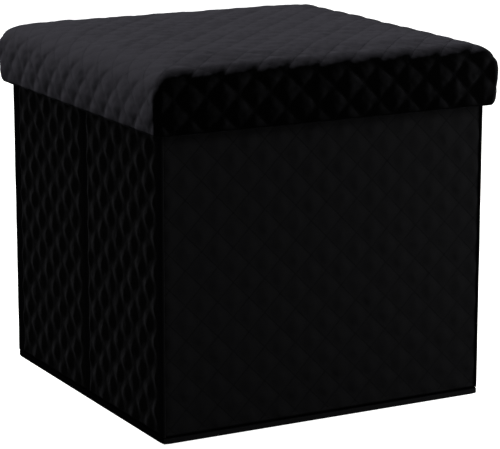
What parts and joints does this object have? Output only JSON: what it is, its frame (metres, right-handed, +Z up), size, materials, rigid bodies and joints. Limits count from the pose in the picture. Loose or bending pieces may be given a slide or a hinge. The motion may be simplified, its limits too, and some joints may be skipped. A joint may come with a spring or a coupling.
{
  "type": "folding storage ottoman",
  "caption": "Cube storage ottoman in quilted black velvet, with a lift-off padded lid and walls that fold flat over a base panel.",
  "frame": {"origin": "middle of the underside of the base panel, on the floor", "axes": "+X along the width, +Y from the front wall to the back wall, +Z up"},
  "size_m": [0.3854, 0.3814, 0.3706],
  "materials": {
    "quilted_velvet": "quilted velvet pile with soft sheen",
    "velvet_strip": "flat velvet, not quilted",
    "nonwoven_lining": "matt non-woven cloth",
    "board": "smooth fibreboard",
    "foam": "open-cell foam"
  },
  "bodies": {
    "carcass": {"base_undercloth": "nonwoven_lining", "base_board": "board", "base_lining": "nonwoven_lining", "back_cover": "quilted_velvet", "back_board": "board", "back_lining": "nonwoven_lining", "rear_left_corner_strip": "velvet_strip", "rear_right_corner_strip": "velvet_strip"},
    "left_rear_half": {"left_rear_cover": "quilted_velvet", "left_rear_board": "board", "left_rear_lining": "nonwoven_lining", "left_fold_strip": "velvet_strip"},
    "left_front_half": {"left_front_cover": "quilted_velvet", "left_front_board": "board", "left_front_lining": "nonwoven_lining"},
    "right_rear_half": {"right_rear_cover": "quilted_velvet", "right_rear_board": "board", "right_rear_lining": "nonwoven_lining", "right_fold_strip": "velvet_strip"},
    "right_front_half": {"right_front_cover": "quilted_velvet", "right_front_board": "board", "right_front_lining": "nonwoven_lining"},
    "front_wall": {"front_cover": "quilted_velvet", "front_board": "board", "front_lining": "nonwoven_lining", "front_left_corner_strip": "velvet_strip", "front_right_corner_strip": "velvet_strip"},
    "lid": {"lid_board": "board", "lid_foam": "foam", "lid_cover": "quilted_velvet", "lid_lining": "nonwoven_lining", "lid_rim_back": "board", "lid_rim_front": "board", "lid_rim_left": "board", "lid_rim_right": "board"}
  },
  "joints": [
    {"name": "lid_lift", "type": "slide", "parent": "carcass", "child": "lid", "axis": [0, 0, 1], "range_m": [0, 0.2]},
    {"name": "left_rear_fold", "type": "hinge", "parent": "carcass", "child": "left_rear_half", "pos_m": [-0.1735, 0.1715, 0.17], "axis": [0, 0, -1], "range_deg": [-89, 0]},
    {"name": "left_centre_fold", "type": "hinge", "parent": "left_rear_half", "child": "left_front_half", "pos_m": [-0.1835, 0, 0.17], "axis": [0, 0, 1], "range_deg": [-178, 0]},
    {"name": "front_wall_fold", "type": "hinge", "parent": "left_front_half", "child": "front_wall", "pos_m": [-0.1735, -0.1715, 0.17], "axis": [0, 0, -1], "range_deg": [-89, 0]},
    {"name": "right_rear_fold", "type": "hinge", "parent": "carcass", "child": "right_rear_half", "pos_m": [0.1735, 0.1715, 0.17], "axis": [0, 0, 1], "range_deg": [-89, 0]},
    {"name": "right_centre_fold", "type": "hinge", "parent": "right_rear_half", "child": "right_front_half", "pos_m": [0.1835, 0, 0.17], "axis": [0, 0, -1], "range_deg": [-178, 0]}
  ],
  "couplings": [
    {"joint": "left_centre_fold", "follows": "left_rear_fold", "ratio": 2},
    {"joint": "front_wall_fold", "follows": "left_rear_fold", "ratio": 1},
    {"joint": "right_rear_fold", "follows": "left_rear_fold", "ratio": 1},
    {"joint": "right_centre_fold", "follows": "left_rear_fold", "ratio": 2}
  ]
}
